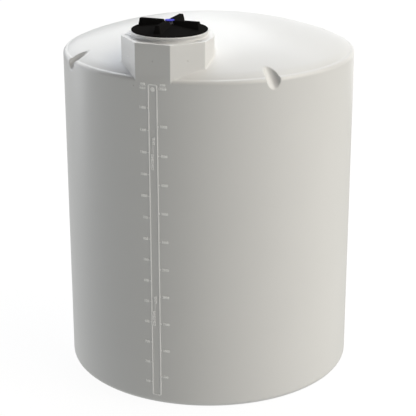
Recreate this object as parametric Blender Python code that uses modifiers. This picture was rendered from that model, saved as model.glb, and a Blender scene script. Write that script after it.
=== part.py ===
"""Vertical storage tank of moulded polyethylene: round shell, domed roof, faceted manway and screw lid.

Metres, +Z up. The origin is the centre of the flat base, on the ground. The gauge strip and the
manway face -Y. Directions round the tank are azimuths: 0 degrees is -Y and 90 degrees is +X.
"""
import math

import bmesh
import bpy
from mathutils import Matrix

# Driving dimensions of the shell
SHELL_RADIUS = 0.940
SHELL_THICKNESS = 0.009
FOOT_RADIUS = 0.040            # rounded corner between wall and floor
SHOULDER_RADIUS = 0.038        # rounded corner between wall and roof
SHOULDER_HEIGHT = 2.148        # top of the shoulder's round
ROOF_APEX = 2.309
ROOF_POWER = 2.18              # how full the dome is
SHOULDER_ARC_END = 75          # degrees, where the shoulder's inner round meets the inside of the roof
WALL_TOP = 2.030               # joint between the wall segments and the shoulder
ROOF_EDGE = 0.765              # radius of the joint between the shoulder and the roof
GAP = 0.0003                   # between touching pieces

# Tie-down grooves across the shoulder
GROOVE_AZIMUTHS = {"front_right": 45, "back_right": 135, "back_left": 225, "front_left": 315}
GROOVE_RADIUS = 0.046
GROOVE_WALL_END = (0.940, 2.066)   # radius and height where the groove's floor leaves the wall
GROOVE_ROOF_END = (0.800, 2.188)   # and where it leaves the roof
GROOVE_LENGTH = 0.420
LIP_INSET = 0.003                  # the dented lip's top edge lies inside the shell's thickness

# Manway, octagonal in front and round behind
MANWAY_Y = -0.663
MANWAY_APOTHEM = 0.2706
MANWAY_CORNERS = (-67.5, -22.5, 22.5, 67.5)   # azimuths of its upright edges
MANWAY_BACK_STEPS = 16
MANWAY_BOTTOM = 2.125
MANWAY_HOLLOW_BOTTOM = 2.000
DECK_TOP = 2.3435
DECK_EDGE_ROUND = 0.005
ROOF_CUT_LEDGE = 0.002
ROOF_CUT_BOTTOM = 2.050
CUTTER_REACH = 0.1             # how far a cutter runs past what it cuts
NECK_BORE = 0.2235
NECK_WAIST = 0.2335
NECK_RIM = 0.2397
NECK_RIM_ROUND = 0.003
NECK_RIM_DEPTH = 0.012
NECK_UNDERCUT = 0.004          # height of the slope below the rim
NECK_FOOT = 0.2430             # step round the neck's foot
NECK_FOOT_HEIGHT = 0.005
NECK_TOP = 2.375

# Screw lid, heights above the gasket's seat on the neck
GASKET_THICKNESS = 0.002
FLANGE_RADIUS = 0.2305
FLANGE_EDGE = 0.0065
FLANGE_BEVEL = (0.003, 0.0025)     # width and height of the bevel round the flange
FLANGE_STEP = 0.001                # how far the cone's foot stands above the flange
GASKET_MARGIN = (0.001, 0.002)     # from the skirt, and from the flange's edge
LID_THICKNESS = 0.006
SKIRT_RADIUS = 0.2185
SKIRT_THICKNESS = 0.0045
SKIRT_DEPTH = 0.048
CROWN_RADIUS = 0.035           # flat spot in the middle of the lid's shallow cone
CONE_FOOT = 0.222
CROWN_RISE = 0.034
GRIP_TOP = 0.0605
GRIP_INNER = (0.034, 0.041)    # radius at the foot and at the top
GRIP_OUTER = (0.197, 0.190)
GRIP_WIDTH = (0.046, 0.027)
GRIP_EDGE_ROUND = 0.003

# Vent in the middle of the lid, heights above the lid's crown
CUP_RADIUS = 0.0195
CUP_BORE = 0.0165
CUP_FLOOR = 0.0025
CUP_HEIGHT = 0.016
STEM_RADIUS = 0.0045
CAP_RADIUS = 0.0295
CAP_UNDERSIDE = 0.0235
CAP_THICKNESS = 0.004
CAP_EDGE_BEVEL = 0.001

# Gauge strip on the front of the wall
STRIP_HALF_WIDTH = 0.0317
STRIP_RIDGE = 0.008
STRIP_RELIEF = 0.003
STRIP_BOTTOM = 0.062
STRIP_TOP = 2.103
TICK_LENGTH = 0.005
TICK_HEIGHT = 0.005
GAUGE_ZERO = 0.0122
GALLON_STEP = 0.13887          # rise for 100 US gallons
GALLON_TICKS = 14
LITRE_STEP = 0.18343           # rise for 500 litres
LITRE_TICKS = 10

# Fineness of the round forms
SHELL_STEPS = 72
WALL_SEGMENTS = 8
SHOULDER_SEGMENTS = 4
CORNER_STEPS = 4
ROOF_STEPS = 6
SHOULDER_ROOF_STEPS = 2
NECK_STEPS = 48
VENT_STEPS = 24
GROOVE_STEPS = 24
EDGE_SEGMENTS = 2              # on every rounded edge
SHARP_ANGLE = 30               # degrees, above which an edge is shaded sharp
MERGE_DISTANCE = 0.0001


# Scene and materials

def clear_scene():
    for old in list(bpy.data.objects):
        bpy.data.objects.remove(old, do_unlink=True)


def new_collection(name):
    collection = bpy.data.collections.new(name)
    bpy.context.scene.collection.children.link(collection)
    return collection


def new_material(name, colour, roughness, metallic=0.0):
    material = bpy.data.materials.new(name)
    material.use_nodes = True
    shader = material.node_tree.nodes["Principled BSDF"]
    shader.inputs["Base Color"].default_value = (*colour, 1.0)
    shader.inputs["Roughness"].default_value = roughness
    shader.inputs["Metallic"].default_value = metallic
    return material


def add_piece(name, bm, material):
    """Make an object of the parts' collection from a bmesh and free the bmesh."""
    mesh = bpy.data.meshes.new(name)
    bmesh.ops.recalc_face_normals(bm, faces=bm.faces)
    bm.to_mesh(mesh)
    bm.free()
    mesh.materials.append(material)
    mesh.shade_smooth()
    mesh.set_sharp_from_angle(angle=math.radians(SHARP_ANGLE))
    piece = bpy.data.objects.new(name, mesh)
    parts.objects.link(piece)
    return piece


def add_cutter(name, bm):
    mesh = bpy.data.meshes.new(name)
    bmesh.ops.recalc_face_normals(bm, faces=bm.faces)
    bm.to_mesh(mesh)
    bm.free()
    cutter = bpy.data.objects.new(name, mesh)
    cutter.hide_render = True
    cutter.display_type = "WIRE"
    cutters.objects.link(cutter)
    return cutter


def combine(piece, operation, tool):
    modifier = piece.modifiers.new(operation.lower(), "BOOLEAN")
    modifier.operation = operation
    modifier.solver = "EXACT"
    modifier.object = tool


def add_pivot(name, location, parent=None):
    pivot = bpy.data.objects.new(name, None)
    pivot.location = location
    pivot.parent = parent
    parts.objects.link(pivot)
    return pivot


# Round and flat forms

def azimuth_angle(azimuth):
    return math.radians(azimuth - 90.0)


def sector_bmesh(outline, azimuth, sweep, steps):
    """Spin a closed outline of (radius, height) points about Z, with its two ends closed."""
    bm = bmesh.new()
    start = azimuth_angle(azimuth)
    corners = [bm.verts.new((r * math.cos(start), r * math.sin(start), z)) for r, z in outline]
    face = bm.faces.new(corners)
    geometry = [face, *face.edges, *face.verts]
    bmesh.ops.spin(bm, geom=geometry, cent=(0, 0, 0), axis=(0, 0, 1), angle=math.radians(sweep), steps=steps)
    return bm


def add_turned(name, outline, material, steps, closed):
    """Turn an outline, top to bottom down its outer side, with a Screw modifier."""
    bm = bmesh.new()
    points = [bm.verts.new((r, 0, z)) for r, z in outline]
    for first, second in zip(points, points[1:]):
        bm.edges.new((first, second))
    if closed:
        bm.edges.new((points[-1], points[0]))
    piece = add_piece(name, bm, material)
    screw = piece.modifiers.new("turn", "SCREW")
    screw.steps = steps
    screw.render_steps = steps
    screw.use_merge_vertices = True
    screw.merge_threshold = MERGE_DISTANCE
    screw.use_smooth_shade = True
    return piece


def arc(centre, radius, start, end, steps):
    """Points (radius, height) on an arc; 0 degrees points outwards and 90 degrees points up."""
    angles = [math.radians(start + (end - start) * i / steps) for i in range(steps + 1)]
    return [(centre[0] + radius * math.cos(a), centre[1] + radius * math.sin(a)) for a in angles]


def extruded_bmesh(points, move):
    """A flat outline, thickened by a move."""
    bm = bmesh.new()
    face = bm.faces.new([bm.verts.new(point) for point in points])
    grown = bmesh.ops.extrude_face_region(bm, geom=[face])
    moved = [item for item in grown["geom"] if isinstance(item, bmesh.types.BMVert)]
    bmesh.ops.translate(bm, verts=moved, vec=move)
    return bm


def manway_bmesh(apothem, bottom, top):
    """A block with the manway's outline: the front half of an octagon, closed by a half circle behind."""
    corner = apothem / math.cos(math.pi / 8)
    angles = [azimuth_angle(azimuth) for azimuth in MANWAY_CORNERS]
    points = [(corner * math.cos(a), corner * math.sin(a), bottom) for a in angles]
    turns = [math.pi * i / MANWAY_BACK_STEPS for i in range(MANWAY_BACK_STEPS + 1)]
    points += [(apothem * math.cos(a), apothem * math.sin(a), bottom) for a in turns]
    return extruded_bmesh(points, (0, 0, top - bottom))


# Shell profile

def roof_height(radius, inset=0.0):
    """Height of the dome's surface, or of the surface that lies inset below it."""
    rise = ROOF_APEX - SHOULDER_HEIGHT
    edge = SHELL_RADIUS - SHOULDER_RADIUS
    share = radius / edge
    slope = rise * ROOF_POWER * share ** (ROOF_POWER - 1) / edge
    return SHOULDER_HEIGHT + rise * (1 - share ** ROOF_POWER) - inset * math.sqrt(1 + slope * slope)


def shoulder_curve(inset):
    """The shoulder from the wall up to the roof's edge, on the surface that lies inset below."""
    centre = (SHELL_RADIUS - SHOULDER_RADIUS, SHOULDER_HEIGHT - SHOULDER_RADIUS)
    last = 90 if inset <= 0 else SHOULDER_ARC_END
    return arc(centre, SHOULDER_RADIUS - inset, 0, last, CORNER_STEPS)


def roof_curve(inset, start, end, steps):
    radii = [start + (end - start) * i / steps for i in range(steps + 1)]
    return [(r, roof_height(r, inset)) for r in radii]


def body_outline(inset, bottom):
    """Half section of a solid with the shell's outer form: from the apex to the axis at the bottom."""
    edge = SHELL_RADIUS - SHOULDER_RADIUS
    roof = roof_curve(inset, 0.0, ROOF_EDGE, ROOF_STEPS)[:-1]
    roof += roof_curve(inset, ROOF_EDGE, edge, SHOULDER_ROOF_STEPS)
    shoulder = shoulder_curve(inset)[::-1]
    side = roof[:-1] + shoulder if inset <= 0 else roof + shoulder
    return side + [(SHELL_RADIUS - inset, bottom), (0.0, bottom)]


# Shell

def make_floor(material):
    radius = SHELL_RADIUS - FOOT_RADIUS - GAP
    outline = [(0, SHELL_THICKNESS), (radius, SHELL_THICKNESS), (radius, 0), (0, 0)]
    add_turned("tank_floor", outline, material, SHELL_STEPS, closed=False)


def make_walls(material):
    """Eight wall segments, each with its share of the rounded foot."""
    centre = (SHELL_RADIUS - FOOT_RADIUS, FOOT_RADIUS)
    outer_foot = arc(centre, FOOT_RADIUS, 0, -90, CORNER_STEPS)
    inner_foot = arc(centre, FOOT_RADIUS - SHELL_THICKNESS, -90, 0, CORNER_STEPS)
    top = WALL_TOP - GAP
    outline = [(SHELL_RADIUS, top)] + outer_foot + inner_foot + [(SHELL_RADIUS - SHELL_THICKNESS, top)]
    turn = 360 / WALL_SEGMENTS
    margin = math.degrees(GAP / SHELL_RADIUS) / 2
    for number in range(WALL_SEGMENTS):
        azimuth = number * turn + margin
        bm = sector_bmesh(outline, azimuth, turn - 2 * margin, SHELL_STEPS // WALL_SEGMENTS)
        add_piece(f"wall_{number + 1}", bm, material)


def groove_bmesh(radius):
    """A round bar along the groove's axis, which lies in the plane of azimuth 90 degrees."""
    run = GROOVE_ROOF_END[0] - GROOVE_WALL_END[0]
    rise = GROOVE_ROOF_END[1] - GROOVE_WALL_END[1]
    length = math.hypot(run, rise)
    middle_x = (GROOVE_ROOF_END[0] + GROOVE_WALL_END[0]) / 2 + GROOVE_RADIUS * rise / length
    middle_z = (GROOVE_ROOF_END[1] + GROOVE_WALL_END[1]) / 2 - GROOVE_RADIUS * run / length
    half_facet = Matrix.Rotation(math.pi / GROOVE_STEPS, 4, "Z")
    tilted = Matrix.Rotation(math.atan2(run, rise), 4, "Y") @ half_facet
    bm = bmesh.new()
    bmesh.ops.create_cone(bm, cap_ends=True, segments=GROOVE_STEPS, radius1=radius, radius2=radius,
                          depth=GROOVE_LENGTH, matrix=Matrix.Translation((middle_x, 0, middle_z)) @ tilted)
    return bm


def add_solid_body(name, inset, bottom):
    """A cutter with the shell's outer form, pulled in by inset."""
    body = add_turned(name, body_outline(inset, bottom), shell_white, SHELL_STEPS, closed=False)
    parts.objects.unlink(body)
    cutters.objects.link(body)
    body.hide_render = True
    body.display_type = "WIRE"
    return body


def make_shoulders(material, manway_cut):
    """Four quarters of the shoulder, each dented by one tie-down groove."""
    inner = SHELL_THICKNESS
    edge = SHELL_RADIUS - SHOULDER_RADIUS
    end = ROOF_EDGE + GAP / 2
    outer_roof = roof_curve(0.0, edge, end, SHOULDER_ROOF_STEPS)[1:]
    inner_roof = roof_curve(inner, end, edge, SHOULDER_ROOF_STEPS)
    outline = [(SHELL_RADIUS, WALL_TOP)] + shoulder_curve(0.0) + outer_roof + inner_roof
    outline += shoulder_curve(inner)[::-1] + [(SHELL_RADIUS - inner, WALL_TOP)]
    turn = 360 / SHOULDER_SEGMENTS
    margin = math.degrees(GAP / SHELL_RADIUS) / 2
    lip_form = add_solid_body("lip_form", LIP_INSET, WALL_TOP - CUTTER_REACH)
    for side, azimuth in GROOVE_AZIMUTHS.items():
        start = azimuth - turn / 2 + margin
        bm = sector_bmesh(outline, start, turn - 2 * margin, SHELL_STEPS // SHOULDER_SEGMENTS)
        shoulder = add_piece(f"shoulder_{side}", bm, material)
        lip = add_cutter(f"lip_{side}", groove_bmesh(GROOVE_RADIUS + SHELL_THICKNESS))
        groove = add_cutter(f"groove_{side}", groove_bmesh(GROOVE_RADIUS))
        for tool in (lip, groove):
            tool.rotation_euler.z = azimuth_angle(azimuth)
        combine(lip, "INTERSECT", lip_form)
        combine(shoulder, "UNION", lip)
        combine(shoulder, "DIFFERENCE", groove)
        if side.startswith("front"):
            combine(shoulder, "DIFFERENCE", manway_cut)


def make_roof(material, manway_cut):
    end = ROOF_EDGE - GAP / 2
    outer = roof_curve(0.0, 0.0, end, ROOF_STEPS)
    inner = roof_curve(SHELL_THICKNESS, end, 0.0, ROOF_STEPS)
    roof = add_turned("roof_dome", outer + inner, material, SHELL_STEPS, closed=False)
    combine(roof, "DIFFERENCE", manway_cut)


# Manway

def make_manway(material):
    """The wall that stands on the shell, the deck on it and the round neck on the deck."""
    deck_bottom = DECK_TOP - SHELL_THICKNESS
    wall = add_piece("manway_wall", manway_bmesh(MANWAY_APOTHEM, MANWAY_BOTTOM, deck_bottom - GAP), material)
    wall.location.y = MANWAY_Y
    inside = MANWAY_APOTHEM - SHELL_THICKNESS
    hollow = add_cutter("manway_hollow", manway_bmesh(inside, MANWAY_HOLLOW_BOTTOM, DECK_TOP))
    hollow.location.y = MANWAY_Y
    combine(wall, "DIFFERENCE", hollow)
    combine(wall, "DIFFERENCE", add_solid_body("seat_form", -GAP, WALL_TOP))

    deck = add_piece("manway_deck", manway_bmesh(MANWAY_APOTHEM, deck_bottom, DECK_TOP), material)
    deck.location.y = MANWAY_Y
    weight_top_edges(deck, DECK_TOP)
    mouth_bm = bmesh.new()
    bmesh.ops.create_cone(mouth_bm, cap_ends=True, segments=NECK_STEPS, radius1=NECK_BORE, radius2=NECK_BORE,
                          depth=CUTTER_REACH, matrix=Matrix.Translation((0, 0, DECK_TOP)))
    mouth = add_cutter("manway_mouth", mouth_bm)
    mouth.location.y = MANWAY_Y
    combine(deck, "DIFFERENCE", mouth)

    base = DECK_TOP + GAP
    rim_low = NECK_TOP - NECK_RIM_DEPTH
    foot_top = base + NECK_FOOT_HEIGHT
    outline = [(NECK_BORE, NECK_TOP), (NECK_RIM - NECK_RIM_ROUND, NECK_TOP), (NECK_RIM, NECK_TOP - NECK_RIM_ROUND),
               (NECK_RIM, rim_low), (NECK_WAIST, rim_low - NECK_UNDERCUT), (NECK_WAIST, foot_top),
               (NECK_FOOT, foot_top), (NECK_FOOT, base), (NECK_BORE, base)]
    neck = add_turned("manway_neck", outline, material, NECK_STEPS, closed=True)
    neck.location.y = MANWAY_Y


def weight_top_edges(piece, height):
    """Round the edges of the top face only, with a Bevel modifier that reads their weights."""
    weights = piece.data.attributes.new("bevel_weight_edge", "FLOAT", "EDGE")
    for edge in piece.data.edges:
        ends = [piece.data.vertices[i].co.z for i in edge.vertices]
        weights.data[edge.index].value = 1.0 if min(ends) > height - MERGE_DISTANCE else 0.0
    bevel = piece.modifiers.new("rounded", "BEVEL")
    bevel.limit_method = "WEIGHT"
    bevel.width = DECK_EDGE_ROUND
    bevel.segments = EDGE_SEGMENTS


# Lid

def cone_height(radius):
    """Height of the lid's upper side above the gasket's seat."""
    drop = (CROWN_RISE - FLANGE_EDGE - FLANGE_STEP) / (CONE_FOOT - CROWN_RADIUS)
    return CROWN_RISE - drop * max(radius - CROWN_RADIUS, 0.0)


def make_lid(lid_axis):
    bottom = GASKET_THICKNESS + 2 * GAP
    bevel_width, bevel_height = FLANGE_BEVEL
    top_outer = (FLANGE_RADIUS - bevel_width, FLANGE_EDGE)
    inside = SKIRT_RADIUS - SKIRT_THICKNESS
    outline = [(0, CROWN_RISE), (CROWN_RADIUS, CROWN_RISE), (CONE_FOOT, cone_height(CONE_FOOT)), top_outer,
               (FLANGE_RADIUS, FLANGE_EDGE - bevel_height), (FLANGE_RADIUS, bottom), (inside, bottom),
               (CROWN_RADIUS, CROWN_RISE - LID_THICKNESS), (0, CROWN_RISE - LID_THICKNESS)]
    plate = add_turned("lid_plate", outline, lid_black, NECK_STEPS, closed=False)
    plate.parent = lid_axis

    skirt_top = bottom - GAP
    outline = [(inside, skirt_top), (SKIRT_RADIUS, skirt_top), (SKIRT_RADIUS, skirt_top - SKIRT_DEPTH),
               (inside, skirt_top - SKIRT_DEPTH)]
    skirt = add_turned("lid_skirt", outline, lid_black, NECK_STEPS, closed=True)
    skirt.parent = lid_axis

    mesh = None
    for number, side in enumerate(("right", "back", "left", "front")):
        if mesh is None:
            grip = add_piece(f"lid_grip_{side}", grip_bmesh(), lid_black)
            mesh = grip.data
        else:
            grip = bpy.data.objects.new(f"lid_grip_{side}", mesh)
            parts.objects.link(grip)
        grip.rotation_euler.z = number * math.pi / 2
        grip.parent = lid_axis
        rounded = grip.modifiers.new("rounded", "BEVEL")
        rounded.width = GRIP_EDGE_ROUND
        rounded.segments = EDGE_SEGMENTS
        rounded.limit_method = "ANGLE"


def grip_bmesh():
    """One arm of the cross grip, along +X: narrower at its top, with its foot on the lid's cone."""
    bm = bmesh.new()
    bmesh.ops.create_cube(bm, size=1.0)
    for vert in bm.verts:
        level = 1 if vert.co.z > 0 else 0
        ends = GRIP_OUTER if vert.co.x > 0 else GRIP_INNER
        radius = ends[level]
        half_width = math.copysign(GRIP_WIDTH[level] / 2, vert.co.y)
        height = GRIP_TOP if level else cone_height(radius) + GAP
        vert.co = (radius, half_width, height)
    return bm


def make_gasket(material, gasket_axis):
    inner = SKIRT_RADIUS + GASKET_MARGIN[0]
    outer = FLANGE_RADIUS - GASKET_MARGIN[1]
    low = GAP
    high = GAP + GASKET_THICKNESS
    outline = [(inner, high), (outer, high), (outer, low), (inner, low)]
    gasket = add_turned("lid_gasket", outline, material, NECK_STEPS, closed=True)
    gasket.parent = gasket_axis


def make_vent(cup_material, cap_material, vent_axis):
    outline = [(CUP_BORE, CUP_HEIGHT), (CUP_RADIUS, CUP_HEIGHT), (CUP_RADIUS, GAP), (0, GAP)]
    outline = [(0, CUP_FLOOR), (CUP_BORE, CUP_FLOOR)] + outline
    cup = add_turned("vent_cup", outline, cup_material, VENT_STEPS, closed=False)
    cup.parent = vent_axis.parent
    cup.location.z = CROWN_RISE

    top = CAP_UNDERSIDE + CAP_THICKNESS
    edge = (CAP_RADIUS - CAP_EDGE_BEVEL, CAP_RADIUS)
    outline = [(0, top), (edge[0], top), (edge[1], top - CAP_EDGE_BEVEL), (edge[1], CAP_UNDERSIDE),
               (STEM_RADIUS, CAP_UNDERSIDE), (STEM_RADIUS, CUP_FLOOR + GAP), (0, CUP_FLOOR + GAP)]
    cap = add_turned("vent_cap", outline, cap_material, VENT_STEPS, closed=False)
    cap.parent = vent_axis


# Gauge strip

def place_on_wall(piece, side):
    """Lay a piece that is modelled flat on the wall's facet beside the front, side 1 or -1."""
    facet = 360 / SHELL_STEPS / 2
    distance = SHELL_RADIUS * math.cos(math.radians(facet)) + GAP
    azimuth = math.radians(side * facet)
    along = -side * SHELL_RADIUS * math.sin(math.radians(facet))
    piece.rotation_euler.z = azimuth
    piece.location.x = distance * math.sin(azimuth) + along * math.cos(azimuth)
    piece.location.y = -distance * math.cos(azimuth) + along * math.sin(azimuth)


def gauge_outline(count, step):
    """Half of the raised border, right of its middle line, with the level marks on its outer side."""
    inside = STRIP_HALF_WIDTH - STRIP_RIDGE
    start = GAP / 2
    tip = STRIP_HALF_WIDTH + TICK_LENGTH
    outline = [(start, STRIP_BOTTOM), (STRIP_HALF_WIDTH, STRIP_BOTTOM)]
    for number in range(1, count + 1):
        low = GAUGE_ZERO + number * step - TICK_HEIGHT / 2
        high = low + TICK_HEIGHT
        outline += [(STRIP_HALF_WIDTH, low), (tip, low), (tip, high), (STRIP_HALF_WIDTH, high)]
    outline += [(STRIP_HALF_WIDTH, STRIP_TOP), (start, STRIP_TOP), (start, STRIP_TOP - STRIP_RIDGE),
                (inside, STRIP_TOP - STRIP_RIDGE), (inside, STRIP_BOTTOM + STRIP_RIDGE),
                (start, STRIP_BOTTOM + STRIP_RIDGE)]
    return outline


def make_gauge(material):
    """The raised border in two halves: gallon marks on the left, litre marks on the right."""
    halves = (("gauge_strip_right", 1, LITRE_TICKS, LITRE_STEP),
              ("gauge_strip_left", -1, GALLON_TICKS, GALLON_STEP))
    for name, side, count, step in halves:
        points = [(side * x, 0, z) for x, z in gauge_outline(count, step)]
        place_on_wall(add_piece(name, extruded_bmesh(points, (0, -STRIP_RELIEF, 0)), material), side)


# Assembly

clear_scene()
parts = new_collection("storage_tank")
cutters = new_collection("cutters")
shell_white = new_material("natural_polyethylene", (0.80, 0.80, 0.77), 0.42)
lid_black = new_material("black_lid", (0.012, 0.012, 0.012), 0.40)
gasket_rubber = new_material("gasket_rubber", (0.02, 0.02, 0.02), 0.75)
cup_grey = new_material("vent_cup_grey", (0.16, 0.16, 0.19), 0.25)
cap_blue = new_material("vent_cap_blue", (0.07, 0.07, 0.72), 0.35)

roof_cut_apothem = MANWAY_APOTHEM - SHELL_THICKNESS - ROOF_CUT_LEDGE
roof_cut = add_cutter("roof_cut", manway_bmesh(roof_cut_apothem, ROOF_CUT_BOTTOM, DECK_TOP + CUTTER_REACH))
roof_cut.location.y = MANWAY_Y

make_floor(shell_white)
make_walls(shell_white)
make_shoulders(shell_white, roof_cut)
make_roof(shell_white, roof_cut)
make_manway(shell_white)
make_gauge(shell_white)

gasket_pivot = add_pivot("gasket_axis", (0, MANWAY_Y, NECK_TOP))
lid_pivot = add_pivot("lid_axis", (0, 0, 0), gasket_pivot)
vent_pivot = add_pivot("vent_axis", (0, 0, CROWN_RISE), lid_pivot)
make_gasket(gasket_rubber, gasket_pivot)
make_lid(lid_pivot)
make_vent(cup_grey, cap_blue, vent_pivot)
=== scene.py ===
import math

import bpy
from mathutils import Matrix, Vector


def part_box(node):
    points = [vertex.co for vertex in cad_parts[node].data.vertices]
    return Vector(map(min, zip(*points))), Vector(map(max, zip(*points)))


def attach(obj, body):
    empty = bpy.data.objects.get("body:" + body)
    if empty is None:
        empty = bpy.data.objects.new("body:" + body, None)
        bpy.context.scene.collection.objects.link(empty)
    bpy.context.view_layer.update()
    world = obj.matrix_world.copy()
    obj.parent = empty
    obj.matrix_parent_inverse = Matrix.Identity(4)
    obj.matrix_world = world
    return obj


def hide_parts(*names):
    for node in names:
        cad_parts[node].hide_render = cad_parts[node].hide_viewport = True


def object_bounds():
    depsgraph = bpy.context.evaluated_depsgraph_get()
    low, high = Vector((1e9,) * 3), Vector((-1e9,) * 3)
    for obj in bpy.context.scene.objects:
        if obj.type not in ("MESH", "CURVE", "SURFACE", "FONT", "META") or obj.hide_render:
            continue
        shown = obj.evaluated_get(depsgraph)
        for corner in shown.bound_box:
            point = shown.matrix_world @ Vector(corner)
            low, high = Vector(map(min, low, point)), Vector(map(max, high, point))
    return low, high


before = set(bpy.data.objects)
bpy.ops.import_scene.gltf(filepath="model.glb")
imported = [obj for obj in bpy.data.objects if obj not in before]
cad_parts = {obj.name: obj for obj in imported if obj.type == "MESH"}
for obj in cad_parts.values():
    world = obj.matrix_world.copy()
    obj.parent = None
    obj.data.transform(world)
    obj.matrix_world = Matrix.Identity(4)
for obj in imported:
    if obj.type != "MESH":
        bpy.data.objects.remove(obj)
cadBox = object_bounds()
print("packed frame loaded")


# Working in edit mode as by hand

def pickOnly(piece):
    bpy.ops.object.select_all(action="DESELECT")
    piece.select_set(True)
    bpy.context.view_layer.objects.active = piece


def openMesh(piece):
    pickOnly(piece)
    bpy.ops.object.mode_set(mode="EDIT")
    bpy.ops.mesh.select_mode(type="VERT")
    bpy.ops.mesh.select_all(action="SELECT")


def closeMesh():
    bpy.ops.object.mode_set(mode="OBJECT")


def selectWhere(piece, kind, rule):
    # leaves edit mode, marks the faces or edges that the rule picks, and goes back in
    bpy.ops.mesh.select_mode(type=kind)
    bpy.ops.mesh.select_all(action="DESELECT")
    bpy.ops.object.mode_set(mode="OBJECT")
    items = piece.data.polygons if kind == "FACE" else piece.data.edges
    for item in items:
        item.select = rule(item)
    bpy.ops.object.mode_set(mode="EDIT")


def tidyMesh(piece, near=0.00002):
    # merges doubles, then turns every face outwards
    openMesh(piece)
    bpy.ops.mesh.remove_doubles(threshold=near)
    bpy.ops.mesh.normals_make_consistent(inside=False)
    closeMesh()


def applyAll(piece):
    pickOnly(piece)
    for modifier in list(piece.modifiers):
        bpy.ops.object.modifier_apply(modifier=modifier.name)


def cutWith(piece, cutter):
    boolean = piece.modifiers.new("cut", "BOOLEAN")
    boolean.operation = "DIFFERENCE"
    boolean.solver = "EXACT"
    boolean.object = cutter
    applyAll(piece)
    bpy.data.objects.remove(cutter)


def joinAll(pieces, name):
    bpy.ops.object.select_all(action="DESELECT")
    for piece in pieces:
        piece.select_set(True)
    bpy.context.view_layer.objects.active = pieces[0]
    bpy.ops.object.join()
    pieces[0].name = name
    return pieces[0]


def settle(piece):
    # the place goes into the mesh, and the object goes back to the origin
    pickOnly(piece)
    bpy.ops.object.transform_apply(location=True, rotation=True, scale=True)


def finishPiece(piece, look, body, standsFor=(), smoothBelow=35):
    settle(piece)
    bpy.ops.object.shade_smooth_by_angle(angle=math.radians(smoothBelow))
    piece.data.materials.clear()
    piece.data.materials.append(look)
    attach(piece, body)
    if standsFor:
        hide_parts(*standsFor)
    print("made", piece.name, len(piece.data.polygons), "faces")


def turnProfile(name, points, steps):
    # one vertex is pulled from point to point and the line is spun about the upright axis
    bpy.ops.object.select_all(action="DESELECT")
    bpy.ops.mesh.primitive_plane_add(size=0.01)
    piece = bpy.context.object
    piece.name = name
    openMesh(piece)
    bpy.ops.mesh.merge(type="CENTER")
    bpy.ops.transform.translate(value=(points[0][0], 0, points[0][1]))
    for (fromReach, fromHeight), (toReach, toHeight) in zip(points, points[1:]):
        move = (toReach - fromReach, 0, toHeight - fromHeight)
        bpy.ops.mesh.extrude_region_move(TRANSFORM_OT_translate={"value": move})
    bpy.ops.mesh.select_all(action="SELECT")
    bpy.ops.mesh.spin(steps=steps, angle=math.tau, use_auto_merge=True, center=(0, 0, 0), axis=(0, 0, 1))
    closeMesh()
    tidyMesh(piece)
    return piece


def arcPoints(centre, radius, start, end, steps):
    # 0 degrees points outwards and 90 degrees points up
    angles = [math.radians(start + (end - start) * i / steps) for i in range(steps + 1)]
    return [(centre[0] + radius * math.cos(a), centre[1] + radius * math.sin(a)) for a in angles]


def evenPoints(start, end, steps):
    return [start + (end - start) * i / steps for i in range(steps + 1)]


# Finishes

noiseSpread = (0.3, 0.7)     # most of a noise texture's values lie between these


def newLook(name, colour, roughness):
    look = bpy.data.materials.new(name)
    look.use_nodes = True
    shader = look.node_tree.nodes["Principled BSDF"]
    shader.inputs["Base Color"].default_value = (*colour, 1)
    shader.inputs["Roughness"].default_value = roughness
    return look, shader, look.node_tree.nodes, look.node_tree.links


def addNoise(nodes, links, where, scale, detail):
    noise = nodes.new("ShaderNodeTexNoise")
    noise.inputs["Scale"].default_value = scale
    noise.inputs["Detail"].default_value = detail
    links.new(where.outputs["Object"], noise.inputs["Vector"])
    return noise


def addRange(nodes, links, source, low, high):
    spread = nodes.new("ShaderNodeMapRange")
    spread.inputs["From Min"].default_value = noiseSpread[0]
    spread.inputs["From Max"].default_value = noiseSpread[1]
    spread.inputs["To Min"].default_value = low
    spread.inputs["To Max"].default_value = high
    links.new(source.outputs["Fac"], spread.inputs["Value"])
    return spread


def addBump(nodes, links, source, strength, distance, under=None):
    bump = nodes.new("ShaderNodeBump")
    bump.inputs["Strength"].default_value = strength
    bump.inputs["Distance"].default_value = distance
    links.new(source.outputs["Fac"], bump.inputs["Height"])
    if under:
        links.new(under.outputs["Normal"], bump.inputs["Normal"])
    return bump


polyethylene = {
    "clean": (0.800, 0.800, 0.810),
    "cloudy": 0.985,        # the clouds' brightness against the clean plastic
    "cloudScale": 2.2,
    "cloudDetail": 4,
    "grainScale": 900,
    "grain": 0.05,
    "grainDepth": 0.0004,
    "waveScale": 3.5,
    "wave": 0.05,
    "waveDepth": 0.01,
    "fineDetail": 2,
    "roughness": 0.4,
    "gloss": (0.28, 0.33),               # roughness of the clean and the cloudy parts
    "paintedHighlight": (0.930, 0.930, 0.935),     # painted highlight: raised marks are made paler than the plastic
    "markPaintedGlow": 0.085,                   # and glow a little, more painted highlight for the light they catch
    "glowColour": (1.0, 1.0, 0.97),
}


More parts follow.
